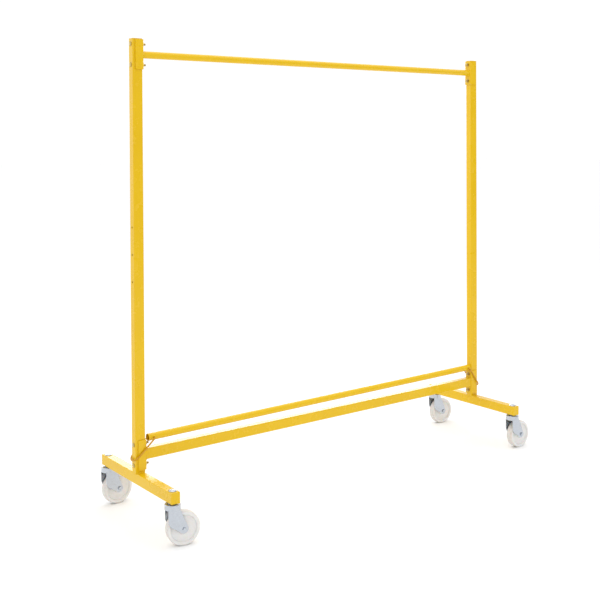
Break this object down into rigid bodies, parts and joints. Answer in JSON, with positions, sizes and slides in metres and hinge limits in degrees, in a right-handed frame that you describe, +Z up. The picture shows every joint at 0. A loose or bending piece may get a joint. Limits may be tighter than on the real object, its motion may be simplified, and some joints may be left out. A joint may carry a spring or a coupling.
{
  "type": "rolling clothes rack",
  "caption": "Tube-framed rolling clothes rack: bolted hanging rail and base bar between uprights on cross feet, loose lower rail with wire bails, swivel castors.",
  "frame": {"origin": "on the floor, midway between the two uprights and midway between the front and rear castors", "axes": "+X along the rack from the left to the right upright, +Y to its back, +Z up; the castors trail towards +X at rest"},
  "size_m": [1.9001, 0.5662, 1.783],
  "materials": {
    "yellow_powder_coat": "smooth gloss powder coat",
    "zinc_plate": "bright zinc plate",
    "bearing_steel": "polished",
    "bearing_plastic": "moulded",
    "white_nylon": "moulded satin"
  },
  "bodies": {
    "frame": {"left_upright": "yellow_powder_coat", "right_upright": "yellow_powder_coat", "left_foot": "yellow_powder_coat", "right_foot": "yellow_powder_coat", "foot_end_plates": "yellow_powder_coat", "upright_top_plates": "yellow_powder_coat", "top_rail": "yellow_powder_coat", "base_bar": "yellow_powder_coat", "left_top_bracket": "yellow_powder_coat", "right_top_bracket": "yellow_powder_coat", "left_base_bracket": "yellow_powder_coat", "right_base_bracket": "yellow_powder_coat", "frame_bolts": "zinc_plate", "frame_washers": "zinc_plate", "frame_nuts": "zinc_plate", "castor_bolts": "zinc_plate", "castor_nuts": "zinc_plate", "king_pins": "zinc_plate", "swivel_races": "zinc_plate", "swivel_balls": "bearing_steel", "thrust_washers": "bearing_plastic"},
    "lower_rail": {"lower_rail": "yellow_powder_coat"},
    "left_bail": {"left_bail": "yellow_powder_coat"},
    "right_bail": {"right_bail": "yellow_powder_coat"},
    "left_front_castor": {"left_front_fork": "zinc_plate", "left_front_axle_bolt": "zinc_plate", "left_front_axle_nut": "zinc_plate", "left_front_axle_sleeve": "zinc_plate"},
    "left_front_roller_wheel": {"left_front_wheel": "white_nylon", "left_front_roller_cage": "bearing_plastic", "left_front_rollers": "bearing_steel"},
    "left_rear_castor": {"left_rear_fork": "zinc_plate", "left_rear_axle_bolt": "zinc_plate", "left_rear_axle_nut": "zinc_plate", "left_rear_axle_sleeve": "zinc_plate"},
    "left_rear_roller_wheel": {"left_rear_wheel": "white_nylon", "left_rear_roller_cage": "bearing_plastic", "left_rear_rollers": "bearing_steel"},
    "right_front_castor": {"right_front_fork": "zinc_plate", "right_front_axle_bolt": "zinc_plate", "right_front_axle_nut": "zinc_plate", "right_front_axle_sleeve": "zinc_plate"},
    "right_front_roller_wheel": {"right_front_wheel": "white_nylon", "right_front_roller_cage": "bearing_plastic", "right_front_rollers": "bearing_steel"},
    "right_rear_castor": {"right_rear_fork": "zinc_plate", "right_rear_axle_bolt": "zinc_plate", "right_rear_axle_nut": "zinc_plate", "right_rear_axle_sleeve": "zinc_plate"},
    "right_rear_roller_wheel": {"right_rear_wheel": "white_nylon", "right_rear_roller_cage": "bearing_plastic", "right_rear_rollers": "bearing_steel"}
  },
  "joints": [
    {"name": "lower_rail_lift", "type": "slide", "parent": "frame", "child": "lower_rail", "axis": [0, 0, 1], "range_m": [0, 1.25]},
    {"name": "left_bail_swing", "type": "hinge", "parent": "lower_rail", "child": "left_bail", "pos_m": [-0.82998, 0, 0.31393], "axis": [0, 1, 0], "range_deg": [0, 82.4]},
    {"name": "right_bail_swing", "type": "hinge", "parent": "lower_rail", "child": "right_bail", "pos_m": [0.84668, 0, 0.32668], "axis": [0, -1, 0], "range_deg": [0, 107]},
    {"name": "left_front_swivel", "type": "hinge", "parent": "frame", "child": "left_front_castor", "pos_m": [-0.887, -0.248, 0.153], "axis": [0, 0, 1], "continuous": true},
    {"name": "left_front_roll", "type": "hinge", "parent": "left_front_castor", "child": "left_front_roller_wheel", "pos_m": [-0.85179, -0.25549, 0.06], "axis": [0.2079, 0.9781, 0], "continuous": true},
    {"name": "left_rear_swivel", "type": "hinge", "parent": "frame", "child": "left_rear_castor", "pos_m": [-0.887, 0.248, 0.153], "axis": [0, 0, 1], "continuous": true},
    {"name": "left_rear_roll", "type": "hinge", "parent": "left_rear_castor", "child": "left_rear_roller_wheel", "pos_m": [-0.85109, 0.25051, 0.06], "axis": [-0.0698, 0.9976, 0], "continuous": true},
    {"name": "right_front_swivel", "type": "hinge", "parent": "frame", "child": "right_front_castor", "pos_m": [0.887, -0.248, 0.153], "axis": [0, 0, 1], "continuous": true},
    {"name": "right_front_roll", "type": "hinge", "parent": "right_front_castor", "child": "right_front_roller_wheel", "pos_m": [0.923, -0.248, 0.06], "axis": [0, 1, 0], "continuous": true},
    {"name": "right_rear_swivel", "type": "hinge", "parent": "frame", "child": "right_rear_castor", "pos_m": [0.887, 0.248, 0.153], "axis": [0, 0, 1], "continuous": true},
    {"name": "right_rear_roll", "type": "hinge", "parent": "right_rear_castor", "child": "right_rear_roller_wheel", "pos_m": [0.92291, 0.24549, 0.06], "axis": [0.0698, 0.9976, 0], "continuous": true}
  ]
}
